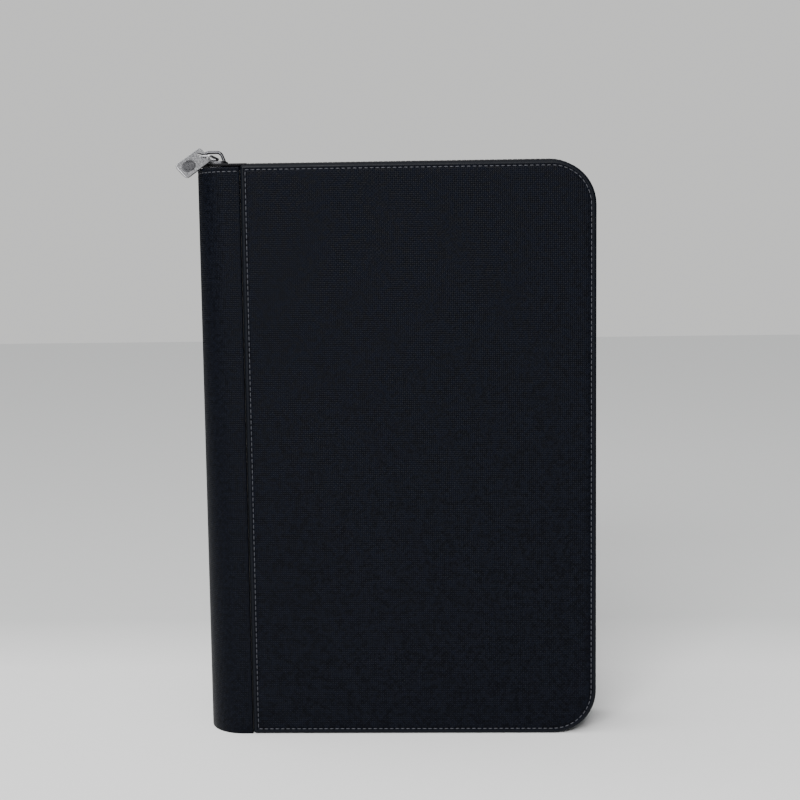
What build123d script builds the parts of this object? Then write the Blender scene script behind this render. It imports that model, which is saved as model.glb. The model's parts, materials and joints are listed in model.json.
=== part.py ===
"""Zip-around trading card binder, standing on its bottom edge.

Millimetres, +Z up. The front cover faces -Y, the spine is at -X and the fore-edge at +X.
The origin is the centre of the bounding box's bottom face.
"""
from build123d import *
import math
import os

# Overall size of the closed binder
height = 340.0
width = 234.5
thickness = 46.0
corner_radius = 26.0
spine_depth = 28.0

# Layers of a cover, from the outside in
skin_thickness = 1.2
padding_thickness = 1.4
board_thickness = 2.4
lining_thickness = 0.5
cover_thickness = skin_thickness + padding_thickness + board_thickness + lining_thickness
rim_width = 1.6
rim_rounding = 1.5
spine_side_corner = 2.0
gutter_gap = 0.15

# Spine strip: a half-round shell, a little below the covers' outer faces and top edges
spine_step = 0.8
spine_top = height - 1.2
spine_board_thickness = 2.0

# Zip: one flat tape a side, a coil along its inner edge, and a gusset that drops inside and turns out to the cover
tape_thickness = 0.8
tape_top = height + 1.4
tape_bottom = 1.6
tape_fore_inset = 1.4
tape_inner_edge = 3.2
tape_flat_edge = 7.6
gusset_drop = 10.0
gusset_lean = 0.3
coil_gap = 0.15
coil_thickness = 2.2
tape_start = 2.0

# Slider, its bail, and the pull that hangs from it
slider_nose = 3.0
slider_length = 14.5
slider_width = 12.0
channel_height = 2.8
channel_half_width = 4.2
plate_thickness = 1.0
slot_height = 1.4
post_half_width = 1.4
post_length = 3.0
bail_length = 11.4
bail_rise = 6.4
bail_wire = 1.9
link_wire = 1.4
link_half_width = 5.1
tab_width = 10.6
tab_below_hole = 18.0
tab_above_hole = 2.4
tab_thickness = 1.5
tab_low_corner = 1.8
tab_high_corner = 2.4
tab_down = Vector(-0.66, -0.54, -0.58).normalized()
tab_roll = 4.0
eye_length = 7.0
eye_width = 2.3
grip_depth = 0.35

# Pocket leaves and the bar that binds them to the spine
leaf_count = 8
leaf_pitch = 4.2
leaf_bottom = 22.0
leaf_height = 296.0
leaf_width = 186.0
leaf_root_from_ridge = 6.0
leaf_sheet_thickness = 0.5
root_bead_radius = 1.2
film_thickness = 0.25
pocket_depth = 0.95
pocket_margin = 6.0
weld_width = 10.0 / 3.0
mouth_width = 1.6
bar_clearance = 0.3
bar_wall = 2.0
rivet_radius = 2.0
rivet_heights = (60.0, 133.0, 207.0, 280.0)

# Places of the pull, measured from the spine's corner
half = thickness / 2
hole_from_spine = 4.8
hole_forward = 10.8
hole_rise = 4.7
pin_from_spine = 7.4
pin_back = 1.0


tab_level = Vector(-tab_down.Z, 0, tab_down.X).normalized()
tab_across = tab_level.rotate(Axis((0, 0, 0), tab_down), tab_roll)


def cast_tab(hole, eye_line):
    """The pull's tab, hung from the centre of its eye: a plate with a shallow oval grip near its free end."""
    plate = Plane(origin=hole, x_dir=tab_down, z_dir=tab_down.cross(tab_across))
    back = plate.offset(-tab_thickness / 2)
    length = tab_above_hole + tab_below_hole
    eye_turn = math.degrees(math.atan2(eye_line.dot(tab_across), eye_line.dot(tab_down)))
    with BuildPart() as tab:
        with BuildSketch(back) as blank:
            with Locations((tab_below_hole - length / 2, 0)):
                Rectangle(length, tab_width)
            corners = blank.vertices().sort_by(lambda corner: (Vector(corner) - hole).dot(tab_down))
            fillet(corners[2:], radius=tab_low_corner)
            corners = blank.vertices().sort_by(lambda corner: (Vector(corner) - hole).dot(tab_down))
            fillet(corners[:2], radius=tab_high_corner)
        extrude(amount=tab_thickness)
        broad = tab.faces().sort_by(lambda face: face.area)[-2:]
        fillet(broad[0].edges() + broad[1].edges(), radius=0.4)
        with BuildSketch(back):
            SlotOverall(eye_length, eye_width, rotation=eye_turn)
        extrude(amount=tab_thickness, mode=Mode.SUBTRACT)
        with BuildSketch(back.offset(tab_thickness - grip_depth)):
            with Locations((tab_below_hole - 6.6, 0)):
                Ellipse(4.8, 3.3)
        extrude(amount=grip_depth, mode=Mode.SUBTRACT)
    return tab.part


plate_top = tape_top + channel_height / 2 + plate_thickness
hole_offset = Vector(hole_from_spine, -hole_forward, tape_top + hole_rise)
pin_offset = Vector(pin_from_spine, pin_back, plate_top + link_wire / 2 + 0.45)
link_line = hole_offset - pin_offset
link_across = Vector(-link_line.Y, link_line.X, 0).normalized()
pull_overhang = -cast_tab(hole_offset, link_across).bounding_box().min.X
x_fore = (width + pull_overhang) / 2
x_spine = x_fore - width
x_ridge = x_spine + spine_depth
inner_face = half - cover_thickness
spine_radius = half - spine_step
spine_centre_x = x_spine + spine_radius
leaf_root_x = x_ridge + leaf_root_from_ridge
channel_floor = tape_top - channel_height / 2
channel_roof = tape_top + channel_height / 2
slider_x = x_spine + slider_nose + slider_length / 2

os.makedirs("parts", exist_ok=True)


def write(piece, node):
    """Labels one finished piece and writes its STEP file."""
    piece.label = node
    export_step(piece, f"parts/{node}.step")


def write_pair(piece, node):
    """Writes a piece of the front cover, and its mirror image as the back cover's."""
    write(piece, f"front_{node}")
    write(mirror(piece, about=Plane.XZ), f"back_{node}")


def cover_outline(inset):
    """A cover's outline, square at the spine and round at the fore-edge, drawn a little inside its edge."""
    with BuildSketch() as outline:
        with BuildLine():
            left = x_ridge + gutter_gap + inset
            right = x_fore - inset
            low = inset
            high = height - inset
            round_fore = corner_radius - inset
            round_spine = max(spine_side_corner - inset, 0.4)
            FilletPolyline(
                (left, low), (right, low), (right, high), (left, high),
                radius=(round_spine, round_fore, round_fore, round_spine),
                close=True,
            )
        make_face()
    return outline.sketch


def cover_layer(outside, depth):
    """One layer of the front cover: it starts `outside` under the outer face and is `depth` thick."""
    with BuildPart() as layer:
        with BuildSketch(Plane.XZ.offset(half - outside - depth)):
            add(cover_outline(rim_width))
        extrude(amount=depth)
    return layer.part


# Outer skin: turned over the edge all round, so it forms a rounded rim that holds the inner layers
with BuildPart() as skin:
    with BuildSketch(Plane.XZ.offset(inner_face)):
        add(cover_outline(0))
    extrude(amount=cover_thickness)
    outer_edges = skin.faces().sort_by(Axis.Y)[0].edges()
    fillet(outer_edges, radius=rim_rounding)
    with BuildSketch(Plane.XZ.offset(inner_face)):
        add(cover_outline(rim_width))
    extrude(amount=cover_thickness - skin_thickness, mode=Mode.SUBTRACT)
write_pair(skin.part, "skin")
write_pair(cover_layer(skin_thickness, padding_thickness), "padding")
board_outside = skin_thickness + padding_thickness
write_pair(cover_layer(board_outside, board_thickness), "board")
write_pair(cover_layer(board_outside + board_thickness, lining_thickness), "lining")


def half_round(radius, wall, low, high):
    """A half-round shell that runs the height of the spine, open towards the leaves."""
    end = x_ridge - gutter_gap
    inner = radius - wall
    with BuildPart() as shell:
        with BuildSketch(Plane.XY.offset(low)):
            with BuildLine():
                Line((end, -radius), (spine_centre_x, -radius))
                ThreePointArc(
                    (spine_centre_x, -radius), (spine_centre_x - radius, 0), (spine_centre_x, radius)
                )
                Line((spine_centre_x, radius), (end, radius))
                Line((end, radius), (end, inner))
                Line((end, inner), (spine_centre_x, inner))
                ThreePointArc(
                    (spine_centre_x, inner), (spine_centre_x - inner, 0), (spine_centre_x, -inner)
                )
                Line((spine_centre_x, -inner), (end, -inner))
                Line((end, -inner), (end, -radius))
            make_face()
        extrude(amount=high - low)
    return shell.part


def rivet_bores(radius):
    """Plain bores through the back of the spine, one for each rivet."""
    with BuildPart() as bores:
        for z in rivet_heights:
            with BuildSketch(Plane.YZ.offset(x_spine + skin_thickness)):
                with Locations((0, z)):
                    Circle(radius)
            extrude(amount=spine_radius)
    return bores.part


spine_board_radius = spine_radius - skin_thickness
spine_lining_radius = spine_board_radius - spine_board_thickness
spine_hollow_radius = spine_lining_radius - lining_thickness
rivet_holes = rivet_bores(rivet_radius)

write(half_round(spine_radius, skin_thickness, 0, spine_top), "spine_skin")

with BuildPart() as spine_board:
    add(half_round(spine_board_radius, spine_board_thickness, rim_width, spine_top - rim_width))
    add(rivet_holes, mode=Mode.SUBTRACT)
write(spine_board.part, "spine_board")

with BuildPart() as spine_lining:
    add(half_round(spine_lining_radius, lining_thickness, rim_width, spine_top - rim_width))
    add(rivet_holes, mode=Mode.SUBTRACT)
write(spine_lining.part, "spine_lining")

# Binding bar: a hollow D-section moulding that fills the spine and carries the leaves on its flat front
bar_front = leaf_root_x - root_bead_radius - bar_clearance
bar_half_width = inner_face - 1.2


def bar_section(inset):
    """The bar's D section, drawn a little inside its surface."""
    radius = spine_hollow_radius - inset
    with BuildSketch() as section:
        with Locations((spine_centre_x, 0)):
            Circle(radius)
        with Locations((spine_centre_x, 0)):
            Rectangle(
                2 * radius, 2 * (bar_half_width - inset), mode=Mode.INTERSECT
            )
        with Locations(((spine_centre_x + bar_front - inset) / 2, 0)):
            Rectangle(bar_front - inset - spine_centre_x, 2 * (bar_half_width - inset))
        with Locations((bar_front - inset + radius, 0)):
            Rectangle(2 * radius, 4 * radius, mode=Mode.SUBTRACT)
    return section.sketch


with BuildPart() as binding_bar:
    with BuildSketch(Plane.XY.offset(leaf_bottom)):
        add(bar_section(0))
        add(bar_section(bar_wall), mode=Mode.SUBTRACT)
    extrude(amount=leaf_height)
    add(rivet_holes, mode=Mode.SUBTRACT)
write(binding_bar.part, "binding_bar")

# Rivets: each goes from its head inside the bar, through the bar's back and the spine's lining and board
rivet_head_x = spine_centre_x - spine_hollow_radius + bar_wall
rivet_tip_x = spine_centre_x - spine_board_radius + 0.1
rivet_head_radius = 2 * rivet_radius
rivet_head_height = 1.5
head_seat_gap = spine_hollow_radius - bar_wall
head_seat_x = spine_centre_x - math.sqrt(head_seat_gap**2 - rivet_head_radius**2)
with BuildPart() as binding_rivets:
    for z in rivet_heights:
        with BuildSketch(Plane.YZ.offset(rivet_tip_x)):
            with Locations((0, z)):
                Circle(rivet_radius)
        extrude(amount=head_seat_x - rivet_tip_x)
        with BuildSketch(Plane.YZ.offset(head_seat_x)):
            with Locations((0, z)):
                Circle(rivet_head_radius)
        extrude(amount=rivet_head_height)
write(binding_rivets.part, "binding_rivets")


def leaf_sheet(y):
    """A leaf's middle sheet, with a round bead along the edge that the bar holds."""
    with BuildPart() as sheet:
        with BuildSketch(Plane.XY.offset(leaf_bottom)):
            with Locations((leaf_root_x + leaf_width / 2, y)):
                Rectangle(leaf_width, leaf_sheet_thickness)
            with Locations((leaf_root_x, y)):
                Circle(root_bead_radius)
        extrude(amount=leaf_height)
    return sheet.part


def pocket_film(y):
    """The clear film on a leaf's front: four shallow pockets, each with a mouth along its spine side."""
    deep = film_thickness + pocket_depth
    film_width = leaf_width - pocket_margin
    pocket_width = (film_width - 3 * weld_width) / 2
    pocket_height = (leaf_height - 3 * weld_width) / 2
    centre_x = leaf_root_x + pocket_margin + film_width / 2
    centre_z = leaf_bottom + leaf_height / 2
    step_x = pocket_width + weld_width
    step_z = pocket_height + weld_width
    back_plane = Plane.XZ.offset(leaf_sheet_thickness / 2 - y)
    with BuildPart() as film:
        with BuildSketch(back_plane):
            with Locations((centre_x, centre_z)):
                Rectangle(film_width, leaf_height)
        extrude(amount=deep)
        with BuildSketch(back_plane):
            with Locations((centre_x, centre_z)):
                with GridLocations(step_x, step_z, 2, 2):
                    Rectangle(pocket_width, pocket_height)
        extrude(amount=pocket_depth, mode=Mode.SUBTRACT)
        with BuildSketch(back_plane):
            with Locations((centre_x - (pocket_width - mouth_width) / 2, centre_z)):
                with GridLocations(step_x, step_z, 2, 2):
                    Rectangle(mouth_width, pocket_height)
        extrude(amount=deep, mode=Mode.SUBTRACT)
    return film.part


for number in range(leaf_count):
    leaf_y = (number - (leaf_count - 1) / 2) * leaf_pitch
    write(leaf_sheet(leaf_y), f"leaf_{number + 1}_sheet")
    write(pocket_film(leaf_y), f"leaf_{number + 1}_front_pockets")
    back_film = mirror(pocket_film(-leaf_y), about=Plane.XZ)
    write(back_film, f"leaf_{number + 1}_back_pockets")

# Zip tape and coil of the front cover: one section swept along the top, fore-edge and bottom
zip_left = x_ridge + tape_start
zip_right = x_fore - tape_fore_inset
zip_round = corner_radius - tape_fore_inset


def swept_round(points, name_radius):
    """Sweeps a closed section, given as (y, rise above the tape's plane), round the three zipped sides."""
    with BuildPart() as band:
        with BuildLine(Plane.XZ) as path:
            FilletPolyline(
                (zip_left, tape_top), (zip_right, tape_top), (zip_right, tape_bottom), (zip_left, tape_bottom),
                radius=zip_round,
            )
        with BuildSketch(Plane(origin=(zip_left, 0, tape_top), x_dir=(0, 1, 0), z_dir=(1, 0, 0))) as section:
            with BuildLine():
                Polyline(*points, close=True)
            make_face()
            if name_radius:
                fillet(section.vertices(), radius=name_radius)
        sweep(path=path.line)
    return band.part


tape_half = tape_thickness / 2
wall_foot = tape_flat_edge + gusset_lean
tape_points = [
    (-tape_inner_edge, tape_half),
    (-tape_flat_edge, tape_half),
    (-wall_foot, tape_half - gusset_drop),
    (-inner_face, tape_half - gusset_drop),
    (-inner_face, -tape_half - gusset_drop),
    (tape_thickness - wall_foot, -tape_half - gusset_drop),
    (tape_thickness - tape_flat_edge, -tape_half),
    (-tape_inner_edge, -tape_half),
]
write_pair(swept_round(tape_points, 0), "zip_tape")
coil_half = coil_thickness / 2
coil_points = [
    (-coil_gap, coil_half),
    (-tape_inner_edge, coil_half),
    (-tape_inner_edge, -coil_half),
    (-coil_gap, -coil_half),
]
write_pair(swept_round(coil_points, 0.7), "zip_coil")

# The tape's two ends, which pass over the top of the spine and are folded into one end tab
end_tab_left = x_spine - 0.8
end_tab_right = x_spine + 1.1
end_tab_back = 7.0
back_prong_end = x_ridge - 2.1
back_prong_edge = 5.6
end_tab_width = tape_flat_edge + end_tab_back
with BuildPart() as zip_end_tab:
    with BuildSketch(Plane.XY.offset(tape_top - tape_half)):
        with Locations(((end_tab_left + zip_left) / 2, -(tape_inner_edge + tape_flat_edge) / 2)):
            Rectangle(zip_left - end_tab_left, tape_flat_edge - tape_inner_edge)
        with Locations(((end_tab_left + back_prong_end) / 2, (tape_inner_edge + back_prong_edge) / 2)):
            Rectangle(back_prong_end - end_tab_left, back_prong_edge - tape_inner_edge)
    extrude(amount=tape_thickness)
    with BuildSketch(Plane.XY.offset(tape_top - tape_thickness)):
        with Locations(((end_tab_left + end_tab_right) / 2, end_tab_back - end_tab_width / 2)):
            RectangleRounded(end_tab_right - end_tab_left, end_tab_width, 0.6)
    extrude(amount=2 * tape_thickness)
write(zip_end_tab.part, "zip_end_tab")

# Two pressed metal stops on the tape ends, just ahead of the slider's nose
stop_length = 1.3
stop_width = 1.6
stop_height = 2.0
with BuildPart() as zip_top_stops:
    for side in (-1, 1):
        with BuildSketch(Plane.XY.offset(tape_top - stop_height / 2)):
            with Locations((end_tab_right + 0.1 + stop_length / 2, side * (tape_inner_edge - stop_width / 2))):
                RectangleRounded(stop_length, stop_width, 0.3)
        extrude(amount=stop_height)
write(zip_top_stops.part, "zip_top_stops")

# Bottom stop, where the closed chain begins under the spine
with BuildPart() as zip_bottom_stop:
    with BuildSketch(Plane.XY.offset(tape_bottom - coil_thickness / 2)):
        with Locations((x_ridge - 0.5, 0)):
            RectangleRounded(4.2, 7.0, 0.8)
    extrude(amount=coil_thickness)
    top_rim = zip_bottom_stop.faces().sort_by(Axis.Z)[-1].edges()
    fillet(top_rim, radius=0.5)
write(zip_bottom_stop.part, "zip_bottom_stop")

# Slider body: two plates joined by a post at the nose, with a lip down each side that guides the tape
with BuildPart() as slider_body:
    with BuildSketch(Plane.XY.offset(channel_floor - plate_thickness)):
        with Locations((slider_x, 0)):
            RectangleRounded(slider_length, slider_width, 3.5)
    extrude(amount=plate_top - channel_floor + plate_thickness)
    plate_rims = slider_body.faces().sort_by(Axis.Z)
    fillet(plate_rims[0].edges() + plate_rims[-1].edges(), radius=0.6)
    with BuildSketch(Plane.XY.offset(channel_floor)):
        with Locations((slider_x, 0)):
            Rectangle(2 * slider_length, 2 * channel_half_width)
        with Locations((slider_x - slider_length / 2 + 0.7 + post_length / 2, 0)):
            RectangleRounded(post_length, 2 * post_half_width, 1.0, mode=Mode.SUBTRACT)
    extrude(amount=channel_height, mode=Mode.SUBTRACT)
    with BuildSketch(Plane.XY.offset(tape_top - slot_height / 2)):
        for side in (-1, 1):
            with Locations((slider_x, side * (channel_half_width + slider_width / 4))):
                Rectangle(2 * slider_length, slider_width / 2)
    extrude(amount=slot_height, mode=Mode.SUBTRACT)
write(slider_body.part, "slider_body")

# Bail: a wire arch along the slider, with its feet on the top plate
bail_left = x_spine + slider_nose + 1.4
bail_right = bail_left + bail_length
bail_top = plate_top + bail_rise - bail_wire / 2
with BuildPart() as slider_bail:
    with BuildLine(Plane.XZ) as arch:
        FilletPolyline(
            (bail_left, plate_top),
            (bail_left - 0.6, bail_top),
            (bail_right - 2.2, bail_top),
            (bail_right, plate_top),
            radius=(2.6, 3.4),
        )
    with BuildSketch(Plane(origin=(bail_left, 0, plate_top), z_dir=arch.line % 0)):
        Circle(bail_wire / 2)
    sweep(path=arch.line)
    below_plate = Plane.XY.offset(plate_top)
    split(bisect_by=below_plate, keep=Keep.TOP)
write(slider_bail.part, "slider_bail")

# Link: a closed wire loop that comes forward from the bail to the tab's eye, with the bail's left leg inside it
corner_of_spine = Vector(x_spine, 0, 0)
hole = corner_of_spine + hole_offset
pin = corner_of_spine + pin_offset
link_plane = Plane(origin=(hole + pin) / 2, x_dir=link_line, z_dir=link_line.cross(link_across))
with BuildSketch(link_plane) as loop_outline:
    RectangleRounded(link_line.length, 2 * link_half_width, 1.6)
loop = loop_outline.sketch.faces()[0].outer_wire()
with BuildPart() as pull_link:
    with BuildSketch(Plane(origin=loop @ 0, z_dir=loop % 0)):
        Circle(link_wire / 2)
    sweep(path=loop)
write(pull_link.part, "pull_link")

write(cast_tab(hole, link_across), "pull_tab")
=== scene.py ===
"""Visual model of a zip-around trading card binder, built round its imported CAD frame. Metres, +Z up."""
import bisect
import json
import math
import bmesh
import bpy
from mathutils import Matrix, Vector


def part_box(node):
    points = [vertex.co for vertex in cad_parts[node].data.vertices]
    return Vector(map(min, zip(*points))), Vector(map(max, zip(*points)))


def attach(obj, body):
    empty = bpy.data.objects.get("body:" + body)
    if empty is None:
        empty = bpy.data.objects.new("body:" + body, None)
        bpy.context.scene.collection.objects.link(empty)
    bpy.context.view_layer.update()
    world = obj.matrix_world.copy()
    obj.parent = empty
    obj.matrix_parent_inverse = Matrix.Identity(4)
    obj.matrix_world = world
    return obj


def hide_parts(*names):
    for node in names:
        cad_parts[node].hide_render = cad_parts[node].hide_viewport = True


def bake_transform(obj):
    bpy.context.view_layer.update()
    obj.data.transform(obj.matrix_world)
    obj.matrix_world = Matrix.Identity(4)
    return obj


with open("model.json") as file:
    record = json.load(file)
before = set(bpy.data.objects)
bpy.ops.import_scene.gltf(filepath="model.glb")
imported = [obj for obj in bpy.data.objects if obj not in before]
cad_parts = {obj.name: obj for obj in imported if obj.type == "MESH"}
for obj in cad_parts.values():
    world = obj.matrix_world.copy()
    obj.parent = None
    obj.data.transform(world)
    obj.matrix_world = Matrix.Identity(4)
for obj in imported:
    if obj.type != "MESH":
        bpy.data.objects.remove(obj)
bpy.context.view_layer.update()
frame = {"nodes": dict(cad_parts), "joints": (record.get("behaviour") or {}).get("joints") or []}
nodes = frame["nodes"]
MM = 0.001

# Places read from the frame
skin_low, skin_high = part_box("front_skin")
spine_low, spine_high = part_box("spine_skin")
end_tab_low, end_tab_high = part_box("zip_end_tab")
inner_face = -skin_high.y
height = skin_high.z
x_spine = spine_low.x
x_fore = skin_high.x
cover_left = skin_low.x
x_ridge = (cover_left + spine_high.x) / 2
spine_radius = -spine_low.y
spine_top = spine_high.z

# Sizes that the looks add
FORE_RADIUS = 26 * MM
SPINE_CORNER = 2 * MM
STITCH_INSET = 3.1 * MM
STITCH_PITCH = 3.3 * MM
STITCH_LENGTH = 2.5 * MM
STITCH_RADIUS = 0.28 * MM
WEAVE_PITCH = 1.15 * MM
TAPE_ROUND = 24.6 * MM
TAPE_TOP = height + 1.4 * MM
TAPE_BOTTOM = 1.6 * MM
TAPE_START = 2.0 * MM
TAPE_INNER = 3.2 * MM
TAPE_FLAT = 7.6 * MM
TAPE_WALL = 7.9 * MM
GUSSET_DROP = 10 * MM
TAPE_THICKNESS = 0.8 * MM
COIL_PITCH = 1.5 * MM
COIL_WIRE = 0.32 * MM


# Materials ---------------------------------------------------------------------------------------

def new_material(name, colour, roughness, metallic=0.0, specular=0.5):
    """An empty procedural material: its node tree, and the shader at its end."""
    material = bpy.data.materials.new(name)
    material.use_nodes = True
    tree = material.node_tree
    shader = tree.nodes["Principled BSDF"]
    shader.inputs["Base Color"].default_value = (*colour, 1)
    shader.inputs["Roughness"].default_value = roughness
    shader.inputs["Metallic"].default_value = metallic
    shader.inputs["Specular IOR Level"].default_value = specular
    return material, tree, shader


def coordinates(tree, source="Object"):
    """A socket with the piece's own coordinates, in metres."""
    if source == "UV":
        node = tree.nodes.new("ShaderNodeUVMap")
        node.uv_map = "metres"
        return node.outputs["UV"]
    return tree.nodes.new("ShaderNodeTexCoord").outputs["Object"]


def math_node(tree, operation, first, second=None):
    """One sum on sockets or numbers."""
    node = tree.nodes.new("ShaderNodeMath")
    node.operation = operation
    for socket, value in zip(node.inputs, (first, second)):
        if value is None:
            continue
        if isinstance(value, (int, float)):
            socket.default_value = value
        else:
            tree.links.new(value, socket)
    return node.outputs[0]


def noise(tree, vector, scale, detail=3.0, roughness=0.55, stretch=None):
    """Noise of about 1/scale metres, stretched along an axis where stretch says so."""
    if stretch is not None:
        mapping = tree.nodes.new("ShaderNodeMapping")
        mapping.inputs["Scale"].default_value = stretch
        tree.links.new(vector, mapping.inputs["Vector"])
        vector = mapping.outputs["Vector"]
    node = tree.nodes.new("ShaderNodeTexNoise")
    node.inputs["Scale"].default_value = scale
    node.inputs["Detail"].default_value = detail
    node.inputs["Roughness"].default_value = roughness
    tree.links.new(vector, node.inputs["Vector"])
    return node.outputs["Fac"]


def ramp(tree, value, low, high, from_low=0.0, from_high=1.0):
    """Maps a value's range onto another, clamped."""
    node = tree.nodes.new("ShaderNodeMapRange")
    node.inputs["From Min"].default_value = from_low
    node.inputs["From Max"].default_value = from_high
    node.inputs["To Min"].default_value = low
    node.inputs["To Max"].default_value = high
    tree.links.new(value, node.inputs["Value"])
    return node.outputs["Result"]


def tint(tree, shader, value, dark, light):
    """Varies the base colour between two colours."""
    node = tree.nodes.new("ShaderNodeMix")
    node.data_type = "RGBA"
    node.inputs["A"].default_value = (*dark, 1)
    node.inputs["B"].default_value = (*light, 1)
    tree.links.new(value, node.inputs["Factor"])
    tree.links.new(node.outputs["Result"], shader.inputs["Base Color"])


def bump(tree, shader, height_value, distance, strength=1.0, under=None):
    """Bump of a given depth in metres, on top of another bump where there is one."""
    node = tree.nodes.new("ShaderNodeBump")
    node.inputs["Distance"].default_value = distance
    node.inputs["Strength"].default_value = strength
    tree.links.new(height_value, node.inputs["Height"])
    if under is not None:
        tree.links.new(under, node.inputs["Normal"])
    tree.links.new(node.outputs["Normal"], shader.inputs["Normal"])
    return node.outputs["Normal"]


def weave_height(tree, vector, pitch, first="X", second="Y"):
    """A plain weave: rows of rounded threads that pass over and under each other."""
    parts = tree.nodes.new("ShaderNodeSeparateXYZ")
    tree.links.new(vector, parts.inputs["Vector"])
    along = math_node(tree, "MULTIPLY", parts.outputs[first], math.pi / pitch)
    across = math_node(tree, "MULTIPLY", parts.outputs[second], math.pi / pitch)
    along_wave = math_node(tree, "SINE", along)
    across_wave = math_node(tree, "SINE", across)
    crossing = math_node(tree, "MULTIPLY", along_wave, across_wave)
    warp = math_node(tree, "ABSOLUTE", along_wave)
    weft = math_node(tree, "ABSOLUTE", across_wave)
    over = math_node(tree, "MULTIPLY", math_node(tree, "MAXIMUM", crossing, 0.0), 0.6)
    return math_node(tree, "ADD", math_node(tree, "MULTIPLY", warp, weft), over)


def leather(name, pitch, source, first, second):
    """Near-black synthetic leather: a woven emboss over fine grain, with slight wear in its sheen."""
    material, tree, shader = new_material(name, (0.0014, 0.0020, 0.0044), 0.45, specular=0.055)
    vector = coordinates(tree, source)
    grain = noise(tree, vector, 900, 4)
    patches = noise(tree, vector, 26, 3)
    speckle = noise(tree, vector, 420, 2)
    shade = ramp(tree, speckle, 0, 1, 0.35, 0.65)
    tint(tree, shader, shade, (0.0005, 0.0008, 0.0022), (0.0018, 0.0027, 0.0060))
    sheen_change = math_node(tree, "ADD", ramp(tree, patches, 0.36, 0.45), ramp(tree, grain, -0.05, 0.09))
    tree.links.new(sheen_change, shader.inputs["Roughness"])
    fine = bump(tree, shader, grain, 0.00006)
    threads = weave_height(tree, vector, pitch, first, second)
    uneven = math_node(tree, "MULTIPLY", threads, ramp(tree, speckle, 0.55, 1.3, 0.3, 0.7))
    bump(tree, shader, uneven, 0.00016, under=fine)
    return material


def smooth_leather(name):
    """The turned-over edge: the same leather, stretched smooth, with long faint creases."""
    material, tree, shader = new_material(name, (0.003, 0.0036, 0.0055), 0.42, specular=0.08)
    vector = coordinates(tree)
    grain = noise(tree, vector, 1400, 3)
    creases = noise(tree, vector, 90, 4, 0.6)
    tint(tree, shader, creases, (0.002, 0.0026, 0.004), (0.004, 0.005, 0.008))
    tree.links.new(ramp(tree, creases, 0.34, 0.52, 0.3, 0.7), shader.inputs["Roughness"])
    fine = bump(tree, shader, grain, 0.00004)
    bump(tree, shader, creases, 0.00018, under=fine)
    return material


def cloth(name, dark, light, pitch, depth, roughness=0.85, source="Object", first="X", second="Z"):
    """Woven cloth or tape."""
    material, tree, shader = new_material(name, dark, roughness, specular=0.25)
    shader.inputs["Sheen Weight"].default_value = 0.06
    shader.inputs["Sheen Roughness"].default_value = 0.5
    vector = coordinates(tree, source)
    threads = weave_height(tree, vector, pitch, first, second)
    slubs = noise(tree, vector, 300, 3)
    tint(tree, shader, ramp(tree, math_node(tree, "MULTIPLY", threads, slubs), 0, 1, 0.0, 0.8), dark, light)
    gloss = ramp(tree, slubs, roughness - 0.1, roughness + 0.08, 0.3, 0.7)
    tree.links.new(gloss, shader.inputs["Roughness"])
    bump(tree, shader, threads, depth)
    return material


def thread(name, dark, light):
    """Twisted sewing thread."""
    material, tree, shader = new_material(name, dark, 0.55, specular=0.45)
    vector = coordinates(tree)
    twist = noise(tree, vector, 2600, 2)
    tint(tree, shader, twist, dark, light)
    tree.links.new(ramp(tree, twist, 0.42, 0.7), shader.inputs["Roughness"])
    bump(tree, shader, twist, 0.00008)
    return material


def plastic(name, dark, light, roughness, grain_scale, depth):
    """Moulded plastic with a fine texture."""
    material, tree, shader = new_material(name, dark, roughness, specular=0.45)
    vector = coordinates(tree)
    grain = noise(tree, vector, grain_scale, 4)
    cloud = noise(tree, vector, 35, 3)
    tint(tree, shader, cloud, dark, light)
    gloss = ramp(tree, grain, roughness - 0.08, roughness + 0.1, 0.3, 0.7)
    tree.links.new(gloss, shader.inputs["Roughness"])
    bump(tree, shader, grain, depth)
    return material


def metal(name, dark, light, roughness, grain_scale, depth, metallic=1.0, stretch=None):
    """Cast or plated metal with fine pitting and handling marks."""
    material, tree, shader = new_material(name, dark, roughness, metallic)
    vector = coordinates(tree)
    pits = noise(tree, vector, grain_scale, 4, stretch=stretch)
    marks = noise(tree, vector, 900, 4)
    tint(tree, shader, ramp(tree, marks, 0, 1, 0.3, 0.7), dark, light)
    gloss = ramp(tree, marks, roughness - 0.05, roughness + 0.08, 0.3, 0.7)
    tree.links.new(gloss, shader.inputs["Roughness"])
    bump(tree, shader, pits, depth)
    return material


def clear_film(name):
    """Thin clear vinyl with faint waves and a little haze."""
    material, tree, shader = new_material(name, (0.2, 0.21, 0.23), 0.12)
    shader.inputs["Alpha"].default_value = 0.2
    vector = coordinates(tree)
    waves = noise(tree, vector, 24, 3)
    haze = noise(tree, vector, 500, 2)
    tint(tree, shader, haze, (0.16, 0.17, 0.19), (0.24, 0.25, 0.27))
    tree.links.new(ramp(tree, haze, 0.08, 0.2), shader.inputs["Roughness"])
    bump(tree, shader, waves, 0.0006)
    return material


def board(name):
    """Dense grey bookbinding board with fibres."""
    material, tree, shader = new_material(name, (0.36, 0.35, 0.33), 0.9, specular=0.2)
    vector = coordinates(tree)
    fibres = noise(tree, vector, 700, 5, 0.7, stretch=(1, 1, 0.3))
    tint(tree, shader, fibres, (0.26, 0.25, 0.235), (0.46, 0.45, 0.43))
    bump(tree, shader, fibres, 0.00012)
    return material


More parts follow.
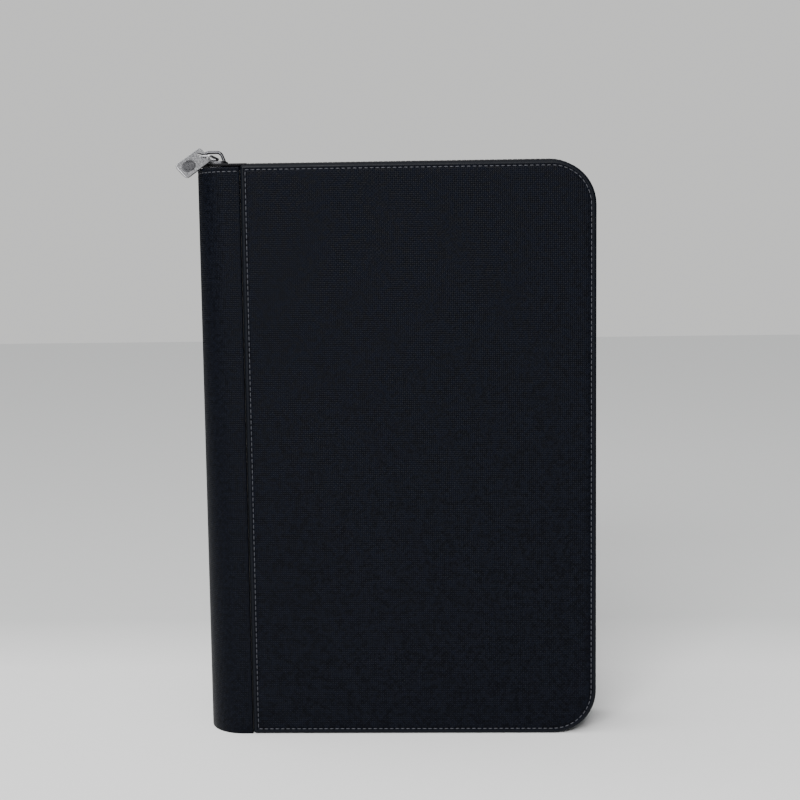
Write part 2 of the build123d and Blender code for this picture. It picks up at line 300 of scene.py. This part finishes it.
def foam(name):
    """Closed-cell foam."""
    material, tree, shader = new_material(name, (0.12, 0.12, 0.12), 0.9, specular=0.2)
    vector = coordinates(tree)
    cells = tree.nodes.new("ShaderNodeTexVoronoi")
    cells.inputs["Scale"].default_value = 1600
    tree.links.new(vector, cells.inputs["Vector"])
    tint(tree, shader, cells.outputs["Distance"], (0.07, 0.07, 0.07), (0.16, 0.16, 0.165))
    bump(tree, shader, cells.outputs["Distance"], 0.0002)
    return material


def studio_floor(name):
    """Pale matte studio paper, lighter under the binder, with painted shade from just behind it: darker
    there, standing in for the shaded wall of a paper sweep.
    """
    material, tree, shader = new_material(name, (0.72, 0.72, 0.715), 0.85, specular=0.2)
    vector = coordinates(tree)
    parts = tree.nodes.new("ShaderNodeSeparateXYZ")
    tree.links.new(vector, parts.inputs["Vector"])
    mottle = noise(tree, vector, 60, 4)
    # Painted shade: the paper's colour darkens from just behind the binder, in place of the shaded back
    # wall; the mottle added to it is the paper's own.
    behind = ramp(tree, parts.outputs["Y"], 0.0, 0.92, 0.11, 0.24)
    painted_shade_and_mottle = math_node(tree, "ADD", behind, ramp(tree, mottle, 0.0, 0.08))
    tint(tree, shader, painted_shade_and_mottle, (0.82, 0.82, 0.815), (0.60, 0.605, 0.60))
    bump(tree, shader, noise(tree, vector, 900, 2), 0.00003)
    return material


cover_leather = leather("pu_leather", WEAVE_PITCH, "Object", "X", "Z")
strip_leather = leather("spine_leather", WEAVE_PITCH, "UV", "X", "Y")
rim_leather = smooth_leather("pu_leather_edge")
sewing_thread = thread("sewing_thread", (0.014, 0.015, 0.021), (0.05, 0.052, 0.062))
lining_cloth = cloth("lining", (0.007, 0.007, 0.009), (0.024, 0.024, 0.028), 0.7 * MM, 0.00007)
gutter_cloth = cloth("gutter_lining", (0.007, 0.007, 0.009), (0.024, 0.024, 0.028), 0.7 * MM, 0.00007,
                     source="UV", second="Y")
tape_cloth = cloth("zip_tape", (0.005, 0.005, 0.006), (0.018, 0.018, 0.021), 0.6 * MM, 0.00012,
                   source="UV", second="Y")
coil_nylon = plastic("zip_coil", (0.016, 0.016, 0.018), (0.03, 0.03, 0.033), 0.35, 1500, 0.00003)
bar_plastic = plastic("bar_plastic", (0.018, 0.018, 0.02), (0.03, 0.03, 0.033), 0.45, 1200, 0.00006)
sheet_plastic = plastic("leaf_sheet", (0.014, 0.014, 0.016), (0.024, 0.024, 0.027), 0.5, 1000, 0.0001)
gunmetal = metal("slider_metal", (0.045, 0.045, 0.05), (0.10, 0.10, 0.105), 0.36, 2200, 0.00004)
stop_metal = metal("stop_metal", (0.04, 0.04, 0.042), (0.07, 0.07, 0.074), 0.45, 1800, 0.00004, 0.6)
satin_zinc = metal("pull_metal", (0.30, 0.30, 0.31), (0.37, 0.37, 0.38), 0.40, 2400, 0.00005)
grip_metal = metal("grip_metal", (0.06, 0.06, 0.065), (0.13, 0.13, 0.135), 0.5, 2400, 0.00006)
nickel = metal("rivet_metal", (0.50, 0.50, 0.51), (0.62, 0.62, 0.63), 0.3, 1800, 0.00003)
film = clear_film("pocket_film")
grey_board = board("greyboard")
pad_foam = foam("foam")


# Mesh helpers ------------------------------------------------------------------------------------

def make_mesh(name, points, faces, materials, face_slots=None, uvs=None):
    """A smooth-shaded piece from points and faces, with a UV map in metres where uvs are given."""
    mesh = bpy.data.meshes.new(name)
    mesh.from_pydata([tuple(point) for point in points], [], faces)
    for material in materials:
        mesh.materials.append(material)
    if face_slots:
        mesh.polygons.foreach_set("material_index", face_slots)
    if uvs is not None:
        layer = mesh.uv_layers.new(name="metres")
        for loop in mesh.loops:
            layer.data[loop.index].uv = uvs[loop.vertex_index]
    edit = bmesh.new()
    edit.from_mesh(mesh)
    bmesh.ops.recalc_face_normals(edit, faces=edit.faces)
    edit.to_mesh(mesh)
    edit.free()
    mesh.polygons.foreach_set("use_smooth", [True] * len(mesh.polygons))
    piece = bpy.data.objects.new(name, mesh)
    bpy.context.scene.collection.objects.link(piece)
    return piece


def loft(name, rings, materials, slot_of_band=None, uvs=None):
    """A closed piece: rings of points joined one to the next, with a cap at each end."""
    count = len(rings[0])
    points = [point for ring in rings for point in ring]
    faces = []
    slots = []
    for band in range(len(rings) - 1):
        for i in range(count):
            after = (i + 1) % count
            a = band * count
            faces.append((a + i, a + after, a + count + after, a + count + i))
            slots.append(slot_of_band(band) if slot_of_band else 0)
    last = (len(rings) - 1) * count
    faces.append(tuple(range(count))[::-1])
    faces.append(tuple(range(last, last + count)))
    slots += [0, slot_of_band(len(rings) - 2) if slot_of_band else 0]
    return make_mesh(name, points, faces, materials, slots, uvs)


def rounded_outline(x0, x1, z0, z1, radii, side_steps=36, corner_steps=12):
    """Points round a rectangle with rounded corners, as (x, z), each with its outward direction."""
    low_left, low_right, high_right, high_left = radii
    corners = [
        (x0 + low_left, z0 + low_left, low_left, 180),
        (x1 - low_right, z0 + low_right, low_right, 270),
        (x1 - high_right, z1 - high_right, high_right, 0),
        (x0 + high_left, z1 - high_left, high_left, 90),
    ]
    line = []
    for number, (cx, cz, radius, start) in enumerate(corners):
        for step in range(corner_steps + 1):
            angle = math.radians(start + 90 * step / corner_steps)
            out = (math.cos(angle), math.sin(angle))
            line.append((cx + radius * out[0], cz + radius * out[1], *out))
        nx, nz, next_radius, next_start = corners[(number + 1) % 4]
        angle = math.radians(next_start)
        out = (math.cos(angle), math.sin(angle))
        end = (nx + next_radius * out[0], nz + next_radius * out[1])
        begin = line[-1]
        for step in range(1, side_steps):
            t = step / side_steps
            line.append((begin[0] + (end[0] - begin[0]) * t, begin[1] + (end[1] - begin[1]) * t, *out))
    return line


def cover_ring(inset, side_steps=36, corner_steps=12):
    """A cover's outline, drawn inset inside its edge."""
    tight = 0.3 * MM
    fore = max(FORE_RADIUS - inset, tight)
    near = max(SPINE_CORNER - inset, tight)
    return rounded_outline(
        cover_left + inset, x_fore - inset, inset, height - inset,
        (near, fore, fore, near), side_steps, corner_steps,
    )


# A stitch: (place along it, thickness, how far it rises), as shares of its length and radius
STITCH_STATIONS = ((-0.5, 0.35, -1.1), (-0.42, 0.8, -0.35), (-0.22, 1.0, 0.0),
                   (0.22, 1.0, 0.0), (0.42, 0.8, -0.35), (0.5, 0.35, -1.1))
STITCH_SIDES = 8


def running_lengths(places):
    """The length along a line of points up to each one."""
    lengths = [0.0]
    for a, b in zip(places, places[1:]):
        lengths.append(lengths[-1] + (b - a).length)
    return lengths


def stitch_row(name, line, closed, start_gap=0.0):
    """A row of stitches on a line of (point, outward direction): short threads with tucked ends."""
    places = [Vector(point) for point, _ in line]
    ups = [Vector(up) for _, up in line]
    if closed:
        places.append(places[0])
        ups.append(ups[0])
    lengths = running_lengths(places)
    end = lengths[-1]
    number = max(1, round((end - 2 * start_gap) / STITCH_PITCH))
    pitch = (end - 2 * start_gap) / number
    step = 1e-4

    def at(distance):
        low = min(bisect.bisect_right(lengths, distance) - 1, len(lengths) - 2)
        span = max(lengths[low + 1] - lengths[low], 1e-9)
        t = (distance - lengths[low]) / span
        return places[low].lerp(places[low + 1], t), ups[low].lerp(ups[low + 1], t).normalized()

    points = []
    faces = []
    for k in range(number):
        middle = start_gap + (k + 0.5) * pitch
        base = len(points)
        for along, fat, sink in STITCH_STATIONS:
            distance = middle + along * STITCH_LENGTH
            centre, up = at(min(max(distance, 0), end - 1e-7))
            ahead, _ = at(min(max(distance + step, step), end - 1e-8))
            behind, _ = at(min(max(distance - step, 0), end - step))
            forward = (ahead - behind).normalized()
            side = forward.cross(up).normalized()
            centre = centre + up * sink * STITCH_RADIUS
            for s in range(STITCH_SIDES):
                angle = math.tau * s / STITCH_SIDES
                offset = side * math.cos(angle) + up * math.sin(angle)
                points.append(centre + offset * fat * STITCH_RADIUS)
        for ring in range(len(STITCH_STATIONS) - 1):
            a = base + ring * STITCH_SIDES
            for s in range(STITCH_SIDES):
                after = (s + 1) % STITCH_SIDES
                faces.append((a + s, a + after, a + STITCH_SIDES + after, a + STITCH_SIDES + s))
        last = base + (len(STITCH_STATIONS) - 1) * STITCH_SIDES
        faces.append(tuple(range(base, base + STITCH_SIDES)))
        faces.append(tuple(range(last, last + STITCH_SIDES)))
    return make_mesh(name, points, faces, [sewing_thread])


# Covers ------------------------------------------------------------------------------------------

# The padded face, from its edge inwards: (inset, distance of the surface from the binder's mid plane)
FACE_PROFILE = [
    (1.65, 20.42), (1.65, 17.56), (1.3, 17.5), (0.6, 17.52), (0.15, 17.85), (0.0, 18.5),
    (0.0, 19.6), (0.0, 20.5), (0.12, 21.2), (0.42, 21.85), (0.9, 22.3), (1.5, 22.5),
    (2.1, 22.5), (2.55, 22.38), (2.85, 22.2), (3.1, 22.12), (3.35, 22.2), (3.65, 22.38),
    (4.2, 22.58), (5.2, 22.74), (6.8, 22.86), (9, 22.93), (13, 22.96), (20, 22.98), (32, 22.99),
    (50, 23.0), (75, 23.0), (101, 23.0),
]
SMOOTH_BANDS = 12


def groove_depth():
    """Distance of the sewn groove's bottom from the binder's mid plane."""
    return next(depth for inset, depth in FACE_PROFILE if abs(inset * MM - STITCH_INSET) < 1e-6) * MM


def cover_panel(name, side, body):
    """One padded cover face with its smooth rolled edge, sewn groove and stitches."""
    rings = []
    for inset, depth in FACE_PROFILE:
        ring = []
        for x, z, _, _ in cover_ring(inset * MM):
            swell = 0.0
            if inset > 6:
                fade = min((inset - 6) / 14, 1.0)
                swell = fade * 0.05 * MM * (math.sin(31 * x + 1.3 * side) * math.sin(23 * z + 0.7) - 1)
            ring.append((x, side * (depth * MM + swell), z))
        rings.append(ring)
    panel = loft(name, rings, [rim_leather, cover_leather], lambda band: 0 if band < SMOOTH_BANDS else 1)
    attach(panel, body)
    cover = body.split("_")[0]
    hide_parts(f"{cover}_skin", f"{cover}_padding")
    surface = groove_depth() + 0.12 * MM
    line = [((x, side * surface, z), (0, side, 0)) for x, z, _, _ in cover_ring(STITCH_INSET)]
    stitches = stitch_row(f"{name}_stitches", line, closed=True)
    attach(stitches, body)


cover_panel("front_cover_panel", -1, "front_cover")
cover_panel("back_cover_panel", 1, "back_cover")


# Spine -------------------------------------------------------------------------------------------

spine_centre = x_spine + spine_radius
strip_end = spine_high.x


def spine_line(steps=64):
    """The spine's outline from its front end round to its back end: (x, y, outward, length along it)."""
    flat = strip_end - spine_centre
    line = []
    for step in range(6):
        x = strip_end - flat * step / 6
        line.append((x, -spine_radius, (0, -1), strip_end - x))
    for step in range(steps + 1):
        angle = -math.pi / 2 - math.pi * step / steps
        out = (math.cos(angle), math.sin(angle))
        line.append((spine_centre + spine_radius * out[0], spine_radius * out[1], out,
                     flat + spine_radius * math.pi * step / steps))
    for step in range(1, 7):
        x = spine_centre + flat * step / 6
        line.append((x, spine_radius, (0, 1), flat + spine_radius * math.pi + flat * step / 6))
    return line


# The skin's section at the top edge: (depth under the surface, distance below the edge)
HEM = [(0.0, 9), (0.0, 5), (0.02, 3.6), (0.22, 3.0), (0.34, 2.7), (0.22, 2.4), (-0.04, 1.9), (-0.06, 1.2),
       (0.05, 0.5), (0.3, 0.12), (0.6, 0.0), (2.0, 0.03), (3.2, 0.0), (3.6, 0.25), (3.72, 0.8), (3.7, 1.4),
       (3.5, 1.54), (1.3, 1.54), (1.2, 1.7)]


# Its section at the bottom edge: (depth under the surface, height)
FOOT = [(1.2, 1.7), (1.3, 1.54), (3.5, 1.54), (3.7, 1.4), (3.72, 0.8), (3.6, 0.25), (3.2, 0.0), (2.0, 0.03),
        (0.6, 0.0), (0.3, 0.12), (0.05, 0.5)]


def spine_skin():
    """The half-round strip, with a hem along its top edge, turned over the ends of the boards."""
    rings = []
    uvs = []
    levels = [0.02, 0.06, 0.12, 0.2, 0.3, 0.4, 0.5, 0.6, 0.7, 0.8, 0.9, 0.96]
    body_top = spine_top - 9 * MM
    for x, y, out, length in spine_line():
        section = [(depth, rise * MM) for depth, rise in FOOT]
        section += [(0.0, level * body_top) for level in levels]
        section += [(depth, spine_top - below * MM) for depth, below in HEM]
        ring = []
        for depth, z in section:
            ring.append((x - out[0] * depth * MM, y - out[1] * depth * MM, z))
            uvs.append((length, z))
        rings.append(ring)
    strip = loft("spine_strip", rings, [strip_leather], uvs=uvs)
    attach(strip, "spine")
    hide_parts("spine_skin")
    surface = -0.2 * MM
    line = []
    for x, y, out, _ in spine_line(200):
        line.append(((x + out[0] * surface, y + out[1] * surface, spine_top - 2.7 * MM), (*out, 0)))
    hem_stitches = stitch_row("spine_hem_stitches", line, closed=False, start_gap=1 * MM)
    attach(hem_stitches, "spine")


spine_skin()


def gutter_lining(name, side):
    """The lining's strip across a gutter (on the real binder it folds when a cover turns), made here as one
    fixed piece attached to neither cover.
    """
    face = inner_face - 0.35 * MM
    thin = 0.3 * MM
    left = x_ridge - 7 * MM
    right = x_ridge + 9 * MM
    low, high = 14 * MM, height - 16 * MM
    columns = 24
    rings = []
    uvs = []
    for column in range(columns + 1):
        x = left + (right - left) * column / columns
        dimple = 0.12 * MM * math.cos(math.pi * (x - x_ridge) / (8 * MM))
        y = face - max(dimple, 0)
        ring = []
        for rise, depth in ([(low + (high - low) * k / 30, 0) for k in range(31)]
                            + [(low + (high - low) * k / 30, thin) for k in range(30, -1, -1)]):
            ring.append((x, side * (y - depth), rise))
            uvs.append((x, rise))
        rings.append(ring)
    strip = loft(name, rings, [gutter_cloth], uvs=uvs)
    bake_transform(strip)


gutter_lining("front_gutter_lining", -1)
gutter_lining("back_gutter_lining", 1)


# Zip ---------------------------------------------------------------------------------------------

zip_left = x_ridge + TAPE_START
zip_right = x_fore - 1.4 * MM


def rail(rise, side_steps=60, corner_steps=24):
    """The zip's line round the top, fore-edge and bottom: (x, z, outward, length along it)."""
    radius = TAPE_ROUND + rise
    right, top, bottom = zip_right + rise, TAPE_TOP + rise, TAPE_BOTTOM - rise
    line = []

    def straight(start, end, out):
        for step in range(side_steps):
            t = step / side_steps
            line.append((start[0] + (end[0] - start[0]) * t, start[1] + (end[1] - start[1]) * t, out))

    def corner(cx, cz, begin):
        for step in range(corner_steps):
            angle = math.radians(begin - 90 * step / corner_steps)
            out = (math.cos(angle), math.sin(angle))
            line.append((cx + radius * out[0], cz + radius * out[1], out))

    straight((zip_left, top), (right - radius, top), (0, 1))
    corner(right - radius, top - radius, 90)
    straight((right, top - radius), (right, bottom + radius), (1, 0))
    corner(right - radius, bottom + radius, 0)
    straight((right - radius, bottom), (zip_left, bottom), (0, -1))
    line.append((zip_left, bottom, (0, -1)))
    lengths = [0.0]
    for a, b in zip(line, line[1:]):
        lengths.append(lengths[-1] + math.hypot(b[0] - a[0], b[1] - a[1]))
    return [(x, z, out, length) for (x, z, out), length in zip(line, lengths)]


def tape_section():
    """The tape's section: (distance from the mid plane, rise above the zip's line)."""
    t = TAPE_THICKNESS / 2
    drop = GUSSET_DROP
    flange = inner_face - 0.02 * MM
    flat_middle, flange_middle = 5.2 * MM, 12 * MM
    top_side = [
        (TAPE_INNER, t * 0.4), (TAPE_INNER + 0.3 * MM, t), (flat_middle, t * 1.05),
        (TAPE_FLAT - 0.6 * MM, t), (TAPE_FLAT, t * 0.4), (TAPE_WALL - 0.05 * MM, -1.2 * MM),
        (TAPE_WALL + 0.1 * MM, -0.55 * drop), (TAPE_WALL, t - drop - 0.7 * MM),
        (TAPE_WALL + 0.7 * MM, t - drop), (flange_middle, t * 1.1 - drop), (flange, t - drop),
    ]
    under_side = [
        (flange, -t - drop), (flange_middle, -t * 0.9 - drop), (TAPE_WALL, -t - drop),
        (TAPE_WALL - 2.2 * t, -t * 0.2 - drop), (TAPE_WALL - 2 * t, -0.55 * drop),
        (TAPE_FLAT - 2 * t, -1.4 * MM), (TAPE_FLAT - 2.4 * t, -t), (flat_middle, -t * 0.95),
        (TAPE_INNER, -t),
    ]
    return top_side + under_side


def zip_tape(name, side, body):
    """One woven tape with its gusset, and the seam along it."""
    section = tape_section()
    rails = [rail(rise) for _, rise in section]
    girth = [0.0]
    for a, b in zip(section, section[1:]):
        girth.append(girth[-1] + math.hypot(b[0] - a[0], b[1] - a[1]))
    rings = []
    uvs = []
    middle = rails[0]
    for station in range(len(middle)):
        ring = []
        for k, (across, _) in enumerate(section):
            x, z, _, _ = rails[k][station]
            ring.append((x, side * across, z))
            uvs.append((middle[station][3], girth[k]))
        rings.append(ring)
    tape = loft(name, rings, [tape_cloth], uvs=uvs)
    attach(tape, body)
    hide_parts(f"{body.split('_')[0]}_zip_tape")
    line = []
    for x, z, out, _ in rail(TAPE_THICKNESS / 2 - 0.1 * MM):
        line.append(((x, side * 6.6 * MM, z), (out[0], 0, out[1])))
    seam = stitch_row(f"{name}_seam", line, closed=False, start_gap=2 * MM)
    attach(seam, body)


def wire(name, points, radius, material, resolution=1):
    """A round wire through points."""
    curve = bpy.data.curves.new(name, "CURVE")
    curve.dimensions = "3D"
    curve.bevel_depth = radius
    curve.bevel_resolution = resolution
    curve.use_fill_caps = True
    spline = curve.splines.new("POLY")
    spline.points.add(len(points) - 1)
    for target, point in zip(spline.points, points):
        target.co = (*point, 1)
    shape = bpy.data.objects.new(name + "_curve", curve)
    bpy.context.scene.collection.objects.link(shape)
    bpy.context.view_layer.update()
    depsgraph = bpy.context.evaluated_depsgraph_get()
    mesh = bpy.data.meshes.new_from_object(shape.evaluated_get(depsgraph))
    mesh.name = name
    bpy.data.objects.remove(shape)
    mesh.materials.clear()
    mesh.materials.append(material)
    mesh.polygons.foreach_set("use_smooth", [True] * len(mesh.polygons))
    piece = bpy.data.objects.new(name, mesh)
    bpy.context.scene.collection.objects.link(piece)
    return piece


def zip_coil(name, side, body):
    """One half of the chain: a nylon spiral whose loops mesh with the other half's."""
    line = rail(0.0)
    total = line[-1][3]
    per_turn = 8
    steps = int(total / COIL_PITCH) * per_turn
    points = []
    low = 0
    for step in range(steps):
        distance = (step / per_turn + (0.5 if side > 0 else 0.0)) * COIL_PITCH
        if distance > total:
            break
        while low < len(line) - 2 and line[low + 1][3] < distance:
            low += 1
        t = (distance - line[low][3]) / (line[low + 1][3] - line[low][3])
        x = line[low][0] + (line[low + 1][0] - line[low][0]) * t
        z = line[low][1] + (line[low + 1][1] - line[low][1]) * t
        out = line[low][2]
        turn = math.tau * step / per_turn
        across = 1.75 * MM + 1.35 * MM * math.cos(turn)
        rise = 0.78 * MM * math.sin(turn)
        points.append((x + out[0] * rise, side * across, z + out[1] * rise))
    coil = wire(name, points, COIL_WIRE, coil_nylon)
    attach(coil, body)
    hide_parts(f"{body.split('_')[0]}_zip_coil")


zip_tape("front_tape", -1, "front_cover")
zip_tape("back_tape", 1, "back_cover")
zip_coil("front_coil", -1, "front_cover")
zip_coil("back_coil", 1, "back_cover")


def ribbon(name, line, across_low, across_high, thickness, body, slot_name):
    """A flat tape along a line of (x, z) points in the XZ plane, lying between two values of y."""
    rings = []
    uvs = []
    length = 0.0
    for i, (x, z) in enumerate(line):
        before = line[max(i - 1, 0)]
        after = line[min(i + 1, len(line) - 1)]
        way = Vector((after[0] - before[0], 0, after[1] - before[1])).normalized()
        up = Vector((-way.z, 0, way.x))
        if i:
            length += math.hypot(x - line[i - 1][0], z - line[i - 1][1])
        ring = []
        edge = 0.25 * MM
        rows = 8
        outline = [(across_low, 0.0)]
        outline += [(across_low + edge + (across_high - across_low - 2 * edge) * k / rows, 0.5)
                    for k in range(rows + 1)]
        outline += [(across_high, 0.0)]
        outline += [(across_high - edge - (across_high - across_low - 2 * edge) * k / rows, -0.5)
                    for k in range(rows + 1)]
        for y, level in outline:
            place = Vector((x, y, z)) + up * level * thickness
            ring.append(tuple(place))
            uvs.append((length, y))
        rings.append(ring)
    piece = loft(name, rings, [tape_cloth], uvs=uvs)
    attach(piece, body)
    return piece


BACK_END_GAP = 2.1 * MM
BACK_END_EDGE = 5.6 * MM
FOLD_RADIUS = 0.42 * MM
FOLD_THICKNESS = 0.55 * MM


def zip_end():
    """The tape's two ends, laid over the spine's top and folded together at the left."""
    left = end_tab_low.x + 0.35 * MM
    reach = end_tab_high.x
    middle = (end_tab_low.z + end_tab_high.z) / 2
    back_end = x_ridge - BACK_END_GAP
    front = []
    for k in range(20, -1, -1):
        front.append((left + (zip_left - left) * k / 20, TAPE_TOP - 0.02 * MM * math.sin(k)))
    back = [(left + (back_end - left) * k / 16, TAPE_TOP) for k in range(16, -1, -1)]
    thin = TAPE_THICKNESS * 0.9
    piece = ribbon("zip_end_front", front, -TAPE_FLAT, -TAPE_INNER, thin, "spine", "zip_tape")
    ribbon("zip_end_back", back, TAPE_INNER, BACK_END_EDGE, thin, "spine", "zip_tape")
    bend = left + FOLD_RADIUS
    fold = [(reach + (bend - reach) * k / 6, middle + FOLD_RADIUS) for k in range(7)]
    for k in range(1, 8):
        angle = math.pi * k / 8
        fold.append((bend - FOLD_RADIUS * math.sin(angle), middle + FOLD_RADIUS * math.cos(angle)))
    fold += [(bend + (reach - bend) * k / 6, middle - FOLD_RADIUS) for k in range(7)]
    edges = (end_tab_low.y + 0.1 * MM, end_tab_high.y - 0.1 * MM)
    ribbon("zip_end_fold", fold, *edges, FOLD_THICKNESS, "spine", "zip_tape")
    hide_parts("zip_end_tab")


zip_end()


# Finishes of the CAD pieces that are shown as they are -------------------------------------------

def dress(node, material):
    """Gives a CAD piece its finish."""
    shown = nodes[node]
    for slot in shown.material_slots:
        slot.material = material


for cover in ("front", "back"):
    dress(f"{cover}_board", grey_board)
    dress(f"{cover}_lining", lining_cloth)
    dress(f"{cover}_padding", pad_foam)
dress("spine_board", grey_board)
dress("spine_lining", lining_cloth)
dress("binding_bar", bar_plastic)
dress("binding_rivets", nickel)
dress("slider_body", gunmetal)
dress("slider_bail", gunmetal)
dress("zip_top_stops", stop_metal)
dress("zip_bottom_stop", stop_metal)
dress("pull_link", satin_zinc)
dress("pull_tab", satin_zinc)
for node in nodes:
    if node.startswith("leaf_"):
        dress(node, sheet_plastic if node.endswith("_sheet") else film)


# Pull ---------------------------------------------------------------------------------------------

TAB_DOWN = Vector((-0.66, -0.54, -0.58)).normalized()
TAB_LEVEL = Vector((-TAB_DOWN.z, 0, TAB_DOWN.x)).normalized()
TAB_ACROSS = Matrix.Rotation(math.radians(4), 3, TAB_DOWN) @ TAB_LEVEL
TAB_FACE = TAB_DOWN.cross(TAB_ACROSS)
TAB_THICKNESS = 1.5 * MM
GRIP_FROM_EYE = 11.4 * MM
GRIP_LENGTH = 4.7 * MM
GRIP_WIDTH = 3.2 * MM
GRIP_DEPTH = 0.35 * MM
PIP_PITCH = 0.55 * MM


def tab_grip():
    """The oval grip: a field of small raised pips in the tab's shallow recess."""
    hinge = next(joint for joint in frame["joints"] if joint["name"] == "pull_tab_hinge")
    eye = Vector(hinge["pos_m"])
    middle = eye + TAB_DOWN * GRIP_FROM_EYE + TAB_FACE * (TAB_THICKNESS / 2 - GRIP_DEPTH)
    rings = []
    turns = 64
    shells = 22
    for shell in range(shells + 1):
        reach = 1 - 0.985 * shell / shells
        ring = []
        for step in range(turns):
            angle = math.tau * step / turns
            down = GRIP_LENGTH * reach * math.cos(angle)
            across = GRIP_WIDTH * reach * math.sin(angle)
            rows = math.sin(math.pi * (down + across) / PIP_PITCH)
            pips = rows * math.sin(math.pi * (down - across) / PIP_PITCH)
            rise = 0.02 * MM + (0.10 + 0.09 * pips) * MM * min(1, 6 * (1 - reach))
            ring.append(middle + TAB_DOWN * down + TAB_ACROSS * across + TAB_FACE * rise)
        rings.append(ring)
    under = [point - TAB_FACE * 0.01 * MM for point in rings[0]]
    grip = loft("tab_grip", [under] + rings, [grip_metal])
    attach(grip, "pull_tab")


tab_grip()


# Studio ------------------------------------------------------------------------------------------

def studio_ground():
    """A wide pale floor, with a very slight unevenness."""
    reach, cells = 5.0, 40
    points = []
    for row in range(cells + 1):
        for column in range(cells + 1):
            x = reach * (2 * column / cells - 1)
            y = reach * (2 * row / cells - 1)
            dip = 0.0 if math.hypot(x, y) < 0.8 else 0.002 * (math.sin(1.7 * x) * math.sin(1.3 * y) - 1)
            points.append((x, y, dip))
    faces = []
    for row in range(cells):
        for column in range(cells):
            a = row * (cells + 1) + column
            faces.append((a, a + 1, a + cells + 2, a + cells + 1))
    make_mesh("studio_floor", points, faces, [studio_floor("studio_paper")])


def studio_world():
    """A pale wall colour where the eye sees the surroundings, and a dim room for what they light."""
    world = bpy.data.worlds.new("studio_world")
    world.use_nodes = True
    tree = world.node_tree
    seen = tree.nodes["Background"]
    seen.inputs["Color"].default_value = (0.78, 0.78, 0.77, 1)
    room = tree.nodes.new("ShaderNodeBackground")
    room.inputs["Color"].default_value = (0.92, 0.95, 1.0, 1)
    room.inputs["Strength"].default_value = 0.10
    path = tree.nodes.new("ShaderNodeLightPath")
    mix = tree.nodes.new("ShaderNodeMixShader")
    tree.links.new(path.outputs["Is Camera Ray"], mix.inputs[0])
    tree.links.new(room.outputs[0], mix.inputs[1])
    tree.links.new(seen.outputs[0], mix.inputs[2])
    tree.links.new(mix.outputs[0], tree.nodes["World Output"].inputs["Surface"])
    bpy.context.scene.world = world


def sun_light(name, place, strength, spread):
    """A very soft light from far above, so that the whole floor is evenly lit."""
    data = bpy.data.lights.new(name, "SUN")
    data.energy = strength
    data.angle = math.radians(spread)
    lamp = bpy.data.objects.new(name, data)
    bpy.context.scene.collection.objects.link(lamp)
    lamp.rotation_euler = (-Vector(place)).to_track_quat("-Z", "Y").to_euler()


def area_light(name, place, target, size, energy):
    """A soft rectangular panel."""
    data = bpy.data.lights.new(name, "AREA")
    data.shape = "RECTANGLE"
    data.size, data.size_y = size
    data.energy = energy
    lamp = bpy.data.objects.new(name, data)
    bpy.context.scene.collection.objects.link(lamp)
    lamp.location = place
    direction = Vector(target) - Vector(place)
    lamp.rotation_euler = direction.to_track_quat("-Z", "Y").to_euler()


studio_ground()
studio_world()
sun_light("overhead", (-0.35, -0.25, 1.0), 3.4, 70)
area_light("front_high", (-0.35, -1.8, 1.15), (0.0, 0.0, 0.42), (1.2, 0.5), 60)


# Camera ------------------------------------------------------------------------------------------

def photo_camera():
    """The camera at the viewing angle, placed from the binder's middle."""
    middle = (x_spine + x_fore) / 2
    yaw, pitch, roll = math.radians(-1.82), math.radians(5.47), math.radians(-0.76)
    forward = Vector((math.sin(yaw) * math.cos(pitch), math.cos(yaw) * math.cos(pitch), -math.sin(pitch)))
    level = Vector((math.cos(yaw), -math.sin(yaw), 0))
    upright = level.cross(forward)
    right = level * math.cos(roll) + upright * math.sin(roll)
    up = upright * math.cos(roll) - level * math.sin(roll)
    turn = Matrix((right, up, -forward)).transposed().to_4x4()
    data = bpy.data.cameras.new("photo_camera")
    data.sensor_width = 36
    data.lens = 57.1
    camera = bpy.data.objects.new("photo_camera", data)
    bpy.context.scene.collection.objects.link(camera)
    camera.matrix_world = Matrix.Translation((middle + 0.0257, -0.7639, 0.273)) @ turn
    bpy.context.scene.camera = camera


photo_camera()
